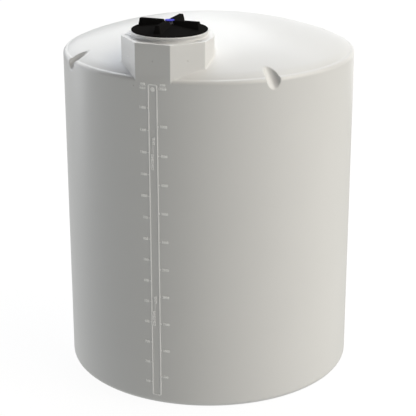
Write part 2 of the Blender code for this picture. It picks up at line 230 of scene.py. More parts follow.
def makePolyethylene(name, clean, glow=0.0):
    # milky moulded plastic: faint clouds in its colour, satin, with a fine orange peel
    look, shader, nodes, links = newLook(name, clean, polyethylene["roughness"])
    # a glow above zero is a painted highlight, used only for the raised marks
    shader.inputs["Emission Color"].default_value = (*polyethylene["glowColour"], 1)
    shader.inputs["Emission Strength"].default_value = glow
    where = nodes.new("ShaderNodeTexCoord")
    clouds = addNoise(nodes, links, where, polyethylene["cloudScale"], polyethylene["cloudDetail"])
    tint = nodes.new("ShaderNodeMix")
    tint.data_type = "RGBA"
    tint.inputs["A"].default_value = (*clean, 1)
    tint.inputs["B"].default_value = (*[polyethylene["cloudy"] * shade for shade in clean], 1)
    amount = addRange(nodes, links, clouds, 0.0, 1.0)
    links.new(amount.outputs["Result"], tint.inputs["Factor"])
    links.new(tint.outputs["Result"], shader.inputs["Base Color"])
    gloss = addRange(nodes, links, clouds, *polyethylene["gloss"])
    links.new(gloss.outputs["Result"], shader.inputs["Roughness"])
    waves = addNoise(nodes, links, where, polyethylene["waveScale"], polyethylene["fineDetail"])
    grain = addNoise(nodes, links, where, polyethylene["grainScale"], polyethylene["fineDetail"])
    broad = addBump(nodes, links, waves, polyethylene["wave"], polyethylene["waveDepth"])
    fine = addBump(nodes, links, grain, polyethylene["grain"], polyethylene["grainDepth"], broad)
    links.new(fine.outputs["Normal"], shader.inputs["Normal"])
    return look


blackPlastic = {
    "colour": (0.0120, 0.0118, 0.0118),
    "worn": (0.0134, 0.0131, 0.0131),
    "roughness": 0.45,
    "gloss": (0.50, 0.62),
    "patchScale": 9,
    "patchDetail": 5,
    "grainScale": 1400,
    "grainDetail": 2,
    "grain": 0.12,
    "grainDepth": 0.0003,
}


def makeBlackPlastic():
    look, shader, nodes, links = newLook("blackPolypropylene", blackPlastic["colour"],
                                         blackPlastic["roughness"])
    where = nodes.new("ShaderNodeTexCoord")
    patches = addNoise(nodes, links, where, blackPlastic["patchScale"], blackPlastic["patchDetail"])
    tint = nodes.new("ShaderNodeMix")
    tint.data_type = "RGBA"
    tint.inputs["A"].default_value = (*blackPlastic["colour"], 1)
    tint.inputs["B"].default_value = (*blackPlastic["worn"], 1)
    amount = addRange(nodes, links, patches, 0.0, 1.0)
    links.new(amount.outputs["Result"], tint.inputs["Factor"])
    links.new(tint.outputs["Result"], shader.inputs["Base Color"])
    gloss = addRange(nodes, links, patches, *blackPlastic["gloss"])
    links.new(gloss.outputs["Result"], shader.inputs["Roughness"])
    grain = addNoise(nodes, links, where, blackPlastic["grainScale"], blackPlastic["grainDetail"])
    fine = addBump(nodes, links, grain, blackPlastic["grain"], blackPlastic["grainDepth"])
    links.new(fine.outputs["Normal"], shader.inputs["Normal"])
    shader.inputs["Specular IOR Level"].default_value = 0.0
    return look


sheetRubber = {
    "colour": (0.014, 0.014, 0.014),
    "roughness": 0.75,
    "gloss": (0.68, 0.82),
    "grainScale": 1800,
    "grainDetail": 3,
    "grain": 0.3,
    "grainDepth": 0.0002,
}


def makeRubber():
    look, shader, nodes, links = newLook("gasketRubber", sheetRubber["colour"], sheetRubber["roughness"])
    where = nodes.new("ShaderNodeTexCoord")
    grain = addNoise(nodes, links, where, sheetRubber["grainScale"], sheetRubber["grainDetail"])
    fine = addBump(nodes, links, grain, sheetRubber["grain"], sheetRubber["grainDepth"])
    links.new(fine.outputs["Normal"], shader.inputs["Normal"])
    shade = addRange(nodes, links, grain, *sheetRubber["gloss"])
    links.new(shade.outputs["Result"], shader.inputs["Roughness"])
    return look


smokePlastic = {
    "colour": (0.13, 0.13, 0.15),
    "clear": 0.35,
    "roughness": 0.22,
    "gloss": (0.18, 0.30),
    "patchScale": 60,
    "patchDetail": 3,
}


def makeSmokePlastic():
    look, shader, nodes, links = newLook("smokePlastic", smokePlastic["colour"], smokePlastic["roughness"])
    shader.inputs["Transmission Weight"].default_value = smokePlastic["clear"]
    where = nodes.new("ShaderNodeTexCoord")
    patches = addNoise(nodes, links, where, smokePlastic["patchScale"], smokePlastic["patchDetail"])
    shade = addRange(nodes, links, patches, *smokePlastic["gloss"])
    links.new(shade.outputs["Result"], shader.inputs["Roughness"])
    return look


bluePlastic = {
    "colour": (0.095, 0.097, 0.646),
    "roughness": 0.45,
    "gloss": (0.30, 0.42),
    "patchScale": 45,
    "patchDetail": 3,
    "grainScale": 1500,
    "grainDetail": 2,
    "grain": 0.1,
    "grainDepth": 0.0002,
}


def makeBluePlastic():
    look, shader, nodes, links = newLook("bluePlastic", bluePlastic["colour"], bluePlastic["roughness"])
    where = nodes.new("ShaderNodeTexCoord")
    patches = addNoise(nodes, links, where, bluePlastic["patchScale"], bluePlastic["patchDetail"])
    shade = addRange(nodes, links, patches, *bluePlastic["gloss"])
    links.new(shade.outputs["Result"], shader.inputs["Roughness"])
    grain = addNoise(nodes, links, where, bluePlastic["grainScale"], bluePlastic["grainDetail"])
    fine = addBump(nodes, links, grain, bluePlastic["grain"], bluePlastic["grainDepth"])
    links.new(fine.outputs["Normal"], shader.inputs["Normal"])
    shader.inputs["Specular IOR Level"].default_value = 0.0
    return look


white = makePolyethylene("naturalPolyethylene", polyethylene["clean"])
# raised marks get a paler, glowing copy of the plastic: painted highlight in place of the light they catch
paintedHighlight = makePolyethylene("paintedHighlightPolyethylene", polyethylene["paintedHighlight"], polyethylene["markPaintedGlow"])
black = makeBlackPlastic()
rubber = makeRubber()
smoke = makeSmokePlastic()
blue = makeBluePlastic()
print("finishes mixed")


# Tank shell

shell = {
    "radius": round(cadBox[1].x, 4),
    "thickness": 0.009,
    "footRound": 0.040,
    "shoulderRound": 0.026,
    "shoulderTop": 2.136,
    "apex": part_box("roof_dome")[1].z,
    "domeEdge": 0.902,      # the dome's curve passes this reach at the height of its foot
    "domeFoot": 2.148,
    "fullness": 2.18,
    "edgeDrop": 0.0073,     # how much lower than that curve the roof lies at the shoulder
    "dropFrom": 0.850,      # and the reach where it starts to fall below it
    "creaseSoftness": 0.002,
    "creaseReach": 0.013,
    "fineFrom": 2.040,      # the grooves start above this height
    "fineTo": 0.775,        # and end outside this radius
    "cutBottom": 2.05,
    "cutLedge": 0.011,      # how far the opening's edge lies inside the housing's outer side
    "floorSteps": 5,
    "footSteps": 8,
    "wallSteps": 7,
    "fineSteps": 15,
    "shoulderSteps": 12,
    "creaseSteps": 8,
    "fineRoofSteps": 20,
    "roofSteps": 14,
}
shoulderEdge = shell["radius"] - shell["shoulderRound"]
shoulderLow = shell["shoulderTop"] - shell["shoulderRound"]


def roofHeight(reach):
    rise = shell["apex"] - shell["domeFoot"]
    dome = shell["domeFoot"] + rise * (1 - (reach / shell["domeEdge"]) ** shell["fullness"])
    share = max(reach - shell["dropFrom"], 0) / (shoulderEdge - shell["dropFrom"])
    return dome - shell["edgeDrop"] * share * share


def shoulderHeight(reach):
    across = min(abs(reach - shoulderEdge), shell["shoulderRound"])
    return shoulderLow + math.sqrt(shell["shoulderRound"] ** 2 - across ** 2)


def skinHeight(reach):
    # the crease where the roof meets the shoulder is slightly filled
    if abs(reach - shoulderEdge) < shell["creaseReach"]:
        roof = roofHeight(reach)
        shoulder = shoulderHeight(reach)
        soft = shell["creaseSoftness"]
        share = max(soft - abs(roof - shoulder), 0) / soft
        return max(roof, shoulder) + share * share * soft / 4
    return roofHeight(reach) if reach < shoulderEdge else shoulderHeight(reach)


def shellProfile():
    radius = shell["radius"]
    foot = shell["footRound"]
    fineFrom, fineTo, creaseReach = shell["fineFrom"], shell["fineTo"], shell["creaseReach"]
    points = [(reach, 0.0) for reach in evenPoints(0, radius - foot, shell["floorSteps"])]
    points += arcPoints((radius - foot, foot), foot, -90, 0, shell["footSteps"])[1:]
    points += [(radius, height) for height in evenPoints(foot, fineFrom, shell["wallSteps"])[1:]]
    points += [(radius, height) for height in evenPoints(fineFrom, shoulderLow, shell["fineSteps"])[1:]]
    last = math.degrees(math.acos(creaseReach / shell["shoulderRound"]))
    points += arcPoints((shoulderEdge, shoulderLow), shell["shoulderRound"], 0, last,
                        shell["shoulderSteps"])[1:]
    crease = evenPoints(shoulderEdge + creaseReach, shoulderEdge - creaseReach, shell["creaseSteps"])[1:]
    roof = evenPoints(crease[-1], fineTo, shell["fineRoofSteps"])[1:]
    roof += evenPoints(fineTo, 0, shell["roofSteps"])[1:]
    return points + [(reach, skinHeight(reach)) for reach in crease + roof]


groove = {
    "atDegrees": (45, 135, 225, 315),
    "radius": 0.046,
    "wallEnd": (0.940, 2.068),     # the floor line's ends, as reach and height
    "roofEnd": (0.812, 2.1860),
    "lip": 0.0036,
    "halfWidth": 0.066,
    "lines": ((10, 0.0040), (18, 0.0010), (4, 0.0030)),   # how many lines, and how far apart
    "linesAcross": 48,
    "deepest": 0.06,
    "leastLean": 0.2,
    "halvings": 26,          # how often the depth's range is halved
    "closeEnough": 0.0000001,
}


def lineOffset(index):
    # distance along the wall from a groove's middle to one of the upright lines
    offset = 0.0
    left = index
    for count, apart in groove["lines"]:
        used = min(left, count)
        offset += used * apart
        left -= used
    spare = groove["linesAcross"] - sum(count for count, apart in groove["lines"])
    whole = sum(count * apart for count, apart in groove["lines"])
    quarter = shell["radius"] * math.pi / 4
    return offset + left * (quarter - whole) / spare


def gatherLines(piece):
    # the upright lines of the mesh are drawn together at the four grooves
    step = math.tau / (8 * groove["linesAcross"])
    for vertex in piece.data.vertices:
        reach = math.hypot(vertex.co.x, vertex.co.y)
        if reach < 0.001:
            continue
        line = round(math.atan2(vertex.co.y, vertex.co.x) / step)
        quarter = math.floor(line / (2 * groove["linesAcross"]))
        index = line - (2 * quarter + 1) * groove["linesAcross"]
        turn = math.copysign(lineOffset(abs(index)) / shell["radius"], index)
        angle = (2 * quarter + 1) * math.pi / 4 + turn
        vertex.co.x = reach * math.cos(angle)
        vertex.co.y = reach * math.sin(angle)


def roundedMeet(first, second, radius):
    # like max(first, second), with a rounded edge where both are near zero
    return min(-radius, max(first, second)) + math.hypot(max(radius + first, 0), max(radius + second, 0))


def sinkGroove(piece, degrees):
    # presses a round channel into the shoulder, with rounded lips
    angle = math.radians(degrees)
    wallEnd, roofEnd = groove["wallEnd"], groove["roofEnd"]
    run = roofEnd[0] - wallEnd[0]
    rise = roofEnd[1] - wallEnd[1]
    length = math.hypot(run, rise)
    outward = Vector((rise / length * math.cos(angle), rise / length * math.sin(angle), -run / length))
    along = Vector((run / length * math.cos(angle), run / length * math.sin(angle), rise / length))
    middle = Vector((wallEnd[0] * math.cos(angle), wallEnd[0] * math.sin(angle), wallEnd[1]))
    middle += outward * groove["radius"]
    side = Vector((-math.sin(angle), math.cos(angle), 0))
    for vertex in piece.data.vertices:
        start = vertex.co.copy()
        if abs(start.dot(side)) > groove["halfWidth"] or start.z < shell["fineFrom"]:
            continue
        if start.x * math.cos(angle) + start.y * math.sin(angle) < shell["fineTo"]:
            continue
        lean = max(vertex.normal.dot(outward), groove["leastLean"])
        low, high = 0.0, groove["deepest"]
        for halving in range(groove["halvings"]):
            depth = (low + high) / 2
            away = (start - outward * depth - middle).cross(along).length
            if roundedMeet(-depth * lean, groove["radius"] - away, groove["lip"]) > groove["closeEnough"]:
                low = depth
            else:
                high = depth
        vertex.co = start - outward * low


def makeShell():
    piece = turnProfile("tankShell", shellProfile(), 8 * groove["linesAcross"])
    gatherLines(piece)
    piece.data.update()
    for degrees in groove["atDegrees"]:
        sinkGroove(piece, degrees)
    wall = piece.modifiers.new("wall", "SOLIDIFY")
    wall.thickness = shell["thickness"]
    wall.offset = -1
    applyAll(piece)
    half = manway["halfWidth"] - shell["cutLedge"]
    cutWith(piece, makeBlock("opening", half, shell["cutBottom"], cadBox[1].z))
    cutWith(piece, addPit(manway["wallPit"]))
    walls = [f"wall_{number}" for number in range(1, 9)]
    shoulders = ["shoulder_front_right", "shoulder_back_right", "shoulder_back_left", "shoulder_front_left"]
    finishPiece(piece, white, "tank", ["tank_floor", "roof_dome"] + walls + shoulders)


# Manway housing

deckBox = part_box("manway_deck")
manway = {
    "halfWidth": deckBox[1].x,
    "middleY": (deckBox[0].y + deckBox[1].y) / 2,
    "deckTop": deckBox[1].z,
    "deckRise": 0.0020,       # the deck slopes up to the neck
    "deckSlope": 0.023,
    "bottom": 2.100,
    "cornerTangent": 0.0021,
    "deckRound": 0.0035,
    "wall": 0.008,
    "ball": 0.012,            # the ball that fills the corner between wall and roof
    "skin": 0.0002,           # how far the housing's foot lies above the tank's skin
    "skirt": 0.004,
    "footRows": 11,
    "rowPitch": 0.0055,
    "plainRows": (2.22, 2.28),
    "frontBlend": (2.108, 2.164),
    "pit": 0.0042,
    "pitSunk": 0.0015,
    "pitTurn": (0.31, 0.22, 0.13),     # the cut can miss a ball whose rings lie on the wall's own lines
    "pitHeight": 2.240,
    "wallPit": (-0.1248, -0.9302, 2.084),
    "backSteps": 12,
    "cornerSteps": 5,
    "deckSteps": 4,
    "sideCuts": 15,
    "ballSteps": 240,
    "frontOnly": 4,           # degrees from straight ahead where the side is still plain front
    "frontBlendOver": 36,     # and over how many more it becomes a rounded foot
}


def makeBlock(name, halfWidth, bottom, top):
    # eight-sided in front, with the back corners rounded into a half circle
    depth = top - bottom
    middle = manway["middleY"]
    bpy.ops.object.select_all(action="DESELECT")
    bpy.ops.mesh.primitive_cylinder_add(vertices=8, radius=halfWidth / math.cos(math.pi / 8),
                                        depth=depth, rotation=(0, 0, math.pi / 8),
                                        location=(0, middle, bottom + depth / 2))
    piece = bpy.context.object
    piece.name = name
    settle(piece)
    verts = piece.data.vertices
    openMesh(piece)
    selectWhere(piece, "EDGE", lambda edge: min(verts[i].co.y for i in edge.vertices) > middle
                and abs(verts[edge.vertices[0]].co.z - verts[edge.vertices[1]].co.z) > depth / 2)
    almostHalf = 0.998 * halfWidth * math.tan(math.pi / 8)
    bpy.ops.mesh.bevel(offset=almostHalf, segments=manway["backSteps"], affect="EDGES")
    bpy.ops.mesh.select_all(action="SELECT")
    bpy.ops.mesh.remove_doubles(threshold=0.001)
    closeMesh()
    for vertex in piece.data.vertices:
        away = Vector((vertex.co.x, vertex.co.y - middle))
        if away.y > -0.001:
            away *= halfWidth / away.length
            vertex.co.x = away.x
            vertex.co.y = middle + away.y
    return piece


def addPit(place):
    bpy.ops.object.select_all(action="DESELECT")
    bpy.ops.mesh.primitive_uv_sphere_add(segments=16, ring_count=8, radius=manway["pit"], location=place,
                                         rotation=manway["pitTurn"])
    return bpy.context.object


def wallDirection(x, y):
    # which way the housing's side faces at a point on it
    if y > 0:
        return Vector((x, y)).normalized()
    tangent = manway["cornerTangent"]
    rounding = tangent / math.tan(math.pi / 8)
    inside = manway["halfWidth"] - rounding
    halfSide = inside * math.tan(math.pi / 8)
    side = round(math.atan2(y, x) / (math.pi / 4))
    outward = Vector((math.cos(side * math.pi / 4), math.sin(side * math.pi / 4)))
    across = Vector((-outward.y, outward.x))
    shift = across.x * x + across.y * y
    if abs(shift) <= halfSide + 0.00005:
        return outward
    corner = outward * inside + across * math.copysign(halfSide, shift)
    return (Vector((x, y)) - corner).normalized()


def ballRest(x, y, direction):
    # a ball rolled along the wall lies on the tank's skin: its height, and how far out it touches
    ball = manway["ball"]
    tallest, touch = -1.0, 0.0
    for out in evenPoints(0, 2 * ball, manway["ballSteps"]):
        reach = math.hypot(x + direction.x * out, y + direction.y * out)
        if reach > shell["radius"] and out > 0:
            break
        skin = skinHeight(min(reach, shell["radius"])) + manway["skin"]
        height = skin + math.sqrt(max(ball ** 2 - (out - ball) ** 2, 0))
        if height > tallest:
            tallest, touch = height, out
    return tallest, touch


def footPath(x, y, direction):
    # points from the tank's skin up the rounded corner to the wall
    ball = manway["ball"]
    height, touch = ballRest(x, y, direction)
    reach = math.hypot(x + direction.x * touch, y + direction.y * touch)
    ground = skinHeight(min(reach, shell["radius"])) + manway["skin"]
    last = math.atan2(ground - height, touch - ball) % math.tau
    angles = evenPoints(last, math.pi, manway["footRows"] - 1)
    path = [(ball + ball * math.cos(a), height + ball * math.sin(a)) for a in angles]
    out = touch + manway["skirt"]
    reach = math.hypot(x + direction.x * out, y + direction.y * out)
    over = max(reach - shell["radius"], 0)
    edge = skinHeight(min(reach, shell["radius"])) + manway["skin"] / 2 - over
    path.insert(0, (out - over, edge))
    return [Vector((x + direction.x * o, y + direction.y * o, h)) for o, h in path]


def frontPath(x, y, heights):
    # the flat front runs down into the round wall with no ledge
    low, high = manway["frontBlend"]
    path = []
    for height in heights:
        share = min(max((height - low) / (high - low), 0), 1)
        share = share * share * (3 - 2 * share)
        wallY = -math.sqrt((shell["radius"] + manway["skin"]) ** 2 - x * x)
        path.append(Vector((x, wallY + (y - wallY) * share, height)))
    return path


def seatHousing(piece, rows):
    # the lower rows of the wall are laid on the tank
    footRows = manway["footRows"]
    deckLow = manway["deckTop"] - manway["deckRound"]
    paths = {}
    for vertex in piece.data.vertices:
        x, y, z = vertex.co
        row = min(range(len(rows)), key=lambda i: abs(rows[i] - z))
        if abs(rows[row] - z) > 0.0005 or z > deckLow - 0.001:
            continue
        key = (round(x, 5), round(y, 5))
        if key not in paths:
            direction = wallDirection(x, y - manway["middleY"])
            foot = footPath(x, y, direction)
            front = frontPath(x, y, rows[:footRows + 1])
            facing = math.degrees(math.acos(max(min(-direction.y, 1), -1)))
            share = min(max((facing - manway["frontOnly"]) / manway["frontBlendOver"], 0), 1)
            paths[key] = [f.lerp(g, share) for f, g in zip(front, foot)]
        path = paths[key]
        if row <= footRows:
            vertex.co = path[row]
        else:
            share = (row - footRows) / (len(rows) - footRows)
            vertex.co.z = path[-1].z + (deckLow - path[-1].z) * share


def makeHousing():
    half = manway["halfWidth"]
    front = manway["middleY"] - 0.05      # only upright edges ahead of this are rounded
    piece = makeBlock("manwayHousing", half, manway["bottom"], manway["deckTop"])
    verts = piece.data.vertices
    openMesh(piece)
    selectWhere(piece, "FACE", lambda face: face.normal.z < -0.5)
    bpy.ops.mesh.delete(type="ONLY_FACE")
    selectWhere(piece, "EDGE", lambda edge: max(verts[i].co.y for i in edge.vertices) < front
                and abs(verts[edge.vertices[0]].co.z - verts[edge.vertices[1]].co.z) > 0.01)
    bpy.ops.mesh.bevel(offset=manway["cornerTangent"], segments=manway["cornerSteps"], affect="EDGES")
    closeMesh()
    verts = piece.data.vertices
    top = manway["deckTop"] - 0.0001
    openMesh(piece)
    selectWhere(piece, "EDGE", lambda edge: min(verts[i].co.z for i in edge.vertices) > top)
    bpy.ops.mesh.bevel(offset=manway["deckRound"], segments=manway["deckSteps"], affect="EDGES")
    selectWhere(piece, "FACE", lambda face: face.normal.z > 0.999)
    bpy.ops.mesh.inset(thickness=manway["deckSlope"], depth=manway["deckRise"])
    closeMesh()
    verts = piece.data.vertices
    openMesh(piece)
    selectWhere(piece, "EDGE",
                lambda edge: (verts[edge.vertices[0]].co.xy - verts[edge.vertices[1]].co.xy).length > 0.1)
    bpy.ops.mesh.subdivide(number_cuts=manway["sideCuts"])
    rows = [manway["bottom"] + manway["rowPitch"] * i for i in range(manway["footRows"] + 1)]
    rows += list(manway["plainRows"])
    for height in rows[1:]:
        bpy.ops.mesh.select_all(action="SELECT")
        bpy.ops.mesh.bisect(plane_co=(0, 0, height), plane_no=(0, 0, 1))
    closeMesh()
    seatHousing(piece, rows)
    tidyMesh(piece)
    wall = piece.modifiers.new("wall", "SOLIDIFY")
    wall.thickness = manway["wall"]
    wall.offset = -1
    applyAll(piece)
    bpy.ops.object.select_all(action="DESELECT")
    bpy.ops.mesh.primitive_cylinder_add(vertices=neck["steps"], radius=neck["bore"], depth=4 * manway["wall"],
                                        location=(0, manway["middleY"], manway["deckTop"]))
    cutWith(piece, bpy.context.object)
    pits = []
    for side in range(8):
        out = half - manway["pitSunk"]
        angle = side * math.pi / 4
        place = (out * math.cos(angle), manway["middleY"] + out * math.sin(angle), manway["pitHeight"])
        if math.sin(angle) < -0.5:
            pits.append(addPit(place))
    cutWith(piece, joinAll(pits, "pits"))
    finishPiece(piece, white, "tank", ["manway_wall", "manway_deck"])


# Neck

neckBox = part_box("manway_neck")
neck = {
    "bore": 0.2235,
    "rim": 0.2403,
    "rimRound": 0.0040,
    "rimDepth": 0.0080,
    "waist": 0.2295,
    "foot": 0.2400,
    "footHeight": 0.003,
    "boreRound": 0.0015,
    "edgeRound": 0.0015,
    "underRound": 0.002,
    "waistRound": 0.003,
    "sunk": 0.0005,
    "threadDepth": 0.0009,
    "threadPitch": 0.009,
    "threadRise": (0.0018, 0.0030, 0.0048),    # where a ridge is full, where it ends and where it is gone
    "steps": 144,
}


def makeNeck():
    top = neckBox[1].z
    foot = manway["deckTop"] + manway["deckRise"]
    base = foot - neck["sunk"]
    bore, rim, rimRound, waist = neck["bore"], neck["rim"], neck["rimRound"], neck["waist"]
    small, under, inner = neck["edgeRound"], neck["underRound"], neck["waistRound"]
    rimLow = top - neck["rimDepth"]
    footTop = foot + neck["footHeight"]
    points = arcPoints((bore + neck["boreRound"], top - neck["boreRound"]), neck["boreRound"], 180, 90, 4)
    points += arcPoints((rim - rimRound, top - rimRound), rimRound, 90, 0, 6)
    points += arcPoints((rim - small, rimLow + small), small, 0, -90, 4)
    points += arcPoints((waist + under, rimLow - under), under, 90, 180, 4)
    points += arcPoints((waist + inner, footTop + inner), inner, 180, 270, 5)
    points += arcPoints((neck["foot"] - small, footTop - small), small, 90, 0, 4)
    points += [(neck["foot"], base), (bore, base)]
    threads = int((top - neck["boreRound"] - base) / neck["threadPitch"])
    full, ends, gone = neck["threadRise"]
    ridge = bore - neck["threadDepth"]
    for number in range(threads):
        low = base + (number + 0.5) * neck["threadPitch"]
        points += [(bore, low), (ridge, low + full), (ridge, low + ends), (bore, low + gone)]
    points.append(points[0])
    piece = turnProfile("manwayNeck", points, neck["steps"])
    piece.location.y = manway["middleY"]
    finishPiece(piece, white, "tank", ["manway_neck"])


# Level gauge

gauge = {
    "halfWidth": 0.0295,
    "ridge": 0.0052,
    "corner": 0.012,
    "relief": 0.0030,
    "ridgeRound": 0.0024,
    "sunk": 0.0010,
    "bottom": 0.062,
    "top": 2.103,
    "zero": 0.0122,
    "gallonStep": 0.13887,
    "gallonMarks": 14,
    "litreStep": 0.18343,
    "litreMarks": 10,
    "tickFrom": 0.0262,
    "tickTo": 0.0372,
    "tickTall": 0.0052,
    "tickRelief": 0.0032,
    "tickRound": 0.0015,
    "numberStart": 0.0452,
    "numberSize": 0.0218,
    "labelSize": 0.0165,
    "labelTop": 2.1020,
    "labelPitch": 0.0250,
    "leftLabels": ("1500", "GALS"),
    "rightLabels": ("5700", "LITRES"),
    "labelMiddle": (-0.0650, 0.0630),
    "labelLine": (0.022, 0.0012),       # half length and half height of the line between two labels
    "labelLineRelief": 0.0016,
    "labelLineRound": 0.0008,
    "uprightWords": (("LEVEL", 0.0020, 1.7545), ("CONTENTS", -0.0060, 1.6215),
                     ("LEVEL", -0.0010, 0.7235), ("CONTENTS", -0.0100, 0.5935)),
    "uprightSize": 0.0190,
    "uprightLines": ((-0.0020, 1.668, 1.725), (-0.0055, 0.642, 0.693)),
    "uprightLineHalf": 0.001,
    "uprightLineRelief": 0.0012,
    "uprightLineRound": 0.0006,
    "textDepth": 0.0012,
    "textBevel": 0.0018,
    "textThinner": 0.0010,
    "bossHeight": 2.073,
    "bossRadius": 0.0135,
    "bossProfile": ((0, 0.0016), (0.7, 0.0015), (0.9, 0.0010), (1, 0), (1, -0.001), (0, -0.001)),
    "bossSteps": 32,
    "ridgeCuts": (0.024, 8),     # the border's top and foot are cut this often, to lie on the round wall
}


def wrapOnWall(piece):
    # x becomes the way along the round wall and -y the relief above it
    for vertex in piece.data.vertices:
        x, y, z = vertex.co
        angle = x / shell["radius"]
        reach = shell["radius"] - y
        vertex.co = (reach * math.sin(angle), -reach * math.cos(angle), z)


def roundedBar(name, left, right, low, high, relief, rounding):
    # a small raised bar, modelled flat and facing -Y
    bpy.ops.object.select_all(action="DESELECT")
    deep = relief + gauge["sunk"]
    place = ((left + right) / 2, gauge["sunk"] - deep / 2, (low + high) / 2)
    bpy.ops.mesh.primitive_cube_add(size=1, location=place, scale=(right - left, deep, high - low))
    piece = bpy.context.object
    piece.name = name
    settle(piece)
    openMesh(piece)
    selectWhere(piece, "FACE", lambda face: face.normal.y < -0.5)
    bpy.ops.mesh.select_mode(type="EDGE")
    bpy.ops.mesh.bevel(offset=rounding, segments=3, affect="EDGES")
    closeMesh()
    return piece


def makeBorder():
    bpy.ops.object.select_all(action="DESELECT")
    bpy.ops.mesh.primitive_plane_add(size=1, rotation=(math.pi / 2, 0, 0),
                                     location=(0, gauge["sunk"], (gauge["bottom"] + gauge["top"]) / 2))
    piece = bpy.context.object
    piece.name = "gaugeBorder"
    piece.scale = (2 * gauge["halfWidth"], gauge["top"] - gauge["bottom"], 1)
    settle(piece)
    openMesh(piece)
    bpy.ops.mesh.bevel(offset=gauge["corner"], segments=8, affect="VERTICES")
    bpy.ops.mesh.select_all(action="SELECT")
    bpy.ops.mesh.select_mode(type="FACE")
    bpy.ops.mesh.inset(thickness=gauge["ridge"], depth=0)
    bpy.ops.mesh.delete(type="FACE")
    widest, cuts = gauge["ridgeCuts"]
    for x in evenPoints(-widest, widest, cuts):
        bpy.ops.mesh.select_all(action="SELECT")
        bpy.ops.mesh.bisect(plane_co=(x, 0, 0), plane_no=(1, 0, 0))
    closeMesh()
    thick = piece.modifiers.new("thick", "SOLIDIFY")
    thick.thickness = gauge["relief"] + gauge["sunk"]
    thick.offset = 1
    rounded = piece.modifiers.new("rounded", "BEVEL")
    rounded.width = gauge["ridgeRound"]
    rounded.segments = 6
    rounded.limit_method = "ANGLE"
    rounded.angle_limit = math.radians(50)
    applyAll(piece)
    wrapOnWall(piece)
    tidyMesh(piece)
    # the border's ridges take the paler, glowing finish: a painted highlight
    finishPiece(piece, paintedHighlight, "tank", ["gauge_strip_left", "gauge_strip_right"], 40)


def addWords(words, x, z, size, align="CENTER", upright=False):
    bpy.ops.object.select_all(action="DESELECT")
    bpy.ops.object.text_add(location=(x, 0, z), rotation=(math.pi / 2, -math.pi / 2 if upright else 0, 0))
    text = bpy.context.object
    text.data.body = words
    text.data.size = size
    text.data.align_x = align
    text.data.align_y = "CENTER"
    text.data.extrude = gauge["textDepth"]
    text.data.bevel_depth = gauge["textBevel"]
    text.data.bevel_resolution = 2
    text.data.resolution_u = 3
    text.data.offset = -gauge["textThinner"]
    bpy.ops.object.convert(target="MESH")
    settle(text)
    return text


def makeMarks():
    pieces = []
    sides = ((-1, gauge["gallonMarks"], gauge["gallonStep"], 100, "RIGHT"),
             (1, gauge["litreMarks"], gauge["litreStep"], 500, "LEFT"))
    for side, count, step, amount, align in sides:
        for number in range(1, count + 1):
            height = gauge["zero"] + number * step
            pieces.append(addWords(str(number * amount), side * gauge["numberStart"], height,
                                   gauge["numberSize"], align))
            left, right = sorted((side * gauge["tickFrom"], side * gauge["tickTo"]))
            tall = gauge["tickTall"] / 2
            pieces.append(roundedBar("tick", left, right, height - tall, height + tall,
                                     gauge["tickRelief"], gauge["tickRound"]))
    for words, middle in zip((gauge["leftLabels"], gauge["rightLabels"]), gauge["labelMiddle"]):
        for line, word in enumerate(words):
            height = gauge["labelTop"] - line * gauge["labelPitch"]
            pieces.append(addWords(word, middle, height, gauge["labelSize"]))
        half, tall = gauge["labelLine"]
        height = gauge["labelTop"] - gauge["labelPitch"] / 2
        pieces.append(roundedBar("line", middle - half, middle + half, height - tall, height + tall,
                                 gauge["labelLineRelief"], gauge["labelLineRound"]))
    for word, x, height in gauge["uprightWords"]:
        pieces.append(addWords(word, x, height, gauge["uprightSize"], upright=True))
    half = gauge["uprightLineHalf"]
    for x, low, high in gauge["uprightLines"]:
        pieces.append(roundedBar("line", x - half, x + half, low, high,
                                 gauge["uprightLineRelief"], gauge["uprightLineRound"]))
    profile = [(share * gauge["bossRadius"], height) for share, height in gauge["bossProfile"]]
    boss = turnProfile("boss", profile, gauge["bossSteps"])
    boss.rotation_euler.x = math.pi / 2
    boss.location.z = gauge["bossHeight"]
    settle(boss)
    pieces.append(boss)
    piece = joinAll(pieces, "gaugeMarks")
    wrapOnWall(piece)
    tidyMesh(piece, 0.000005)
    # the marks take the paler, glowing finish: a painted highlight
    finishPiece(piece, paintedHighlight, "tank", (), 40)


# Screw lid

seat = neckBox[1].z
lid = {
    "flange": 0.2305,
    "flangeTop": 0.0065,
    "flangeLow": 0.0026,
    "edgeRound": 0.0018,
    "crown": 0.034,
    "crownRadius": 0.035,
    "crownReaches": (0.028, 0.035, 0.044),
    "coneFoot": 0.222,
    "coneSteps": 8,
    "smallRound": 0.0008,
    "thickness": 0.006,
    "skirt": 0.2185,
    "skirtWall": 0.0045,
    "skirtDepth": 0.048,
    "skirtGap": 0.0003,
    "skirtRound": 0.0015,
    "thread": 0.0026,
    "threadTall": 0.0042,
    "threadFlank": 0.0012,
    "threadOut": 0.001,      # the thread's middle line, out from the skirt
    "threadStart": 0.005,    # and above the skirt's foot
    "threadSteps": 96,       # a turn
    "threadPitch": 0.010,
    "threadTurns": 3.5,
    "steps": 144,
}


def coneHeight(reach):
    # the lid's upper side above the seat
    drop = (lid["crown"] - lid["flangeTop"] - 0.001) / (lid["coneFoot"] - lid["crownRadius"])
    return lid["crown"] - drop * max(reach - lid["crownRadius"], 0)


def placeOnNeck(piece):
    piece.location = (0, manway["middleY"], seat)


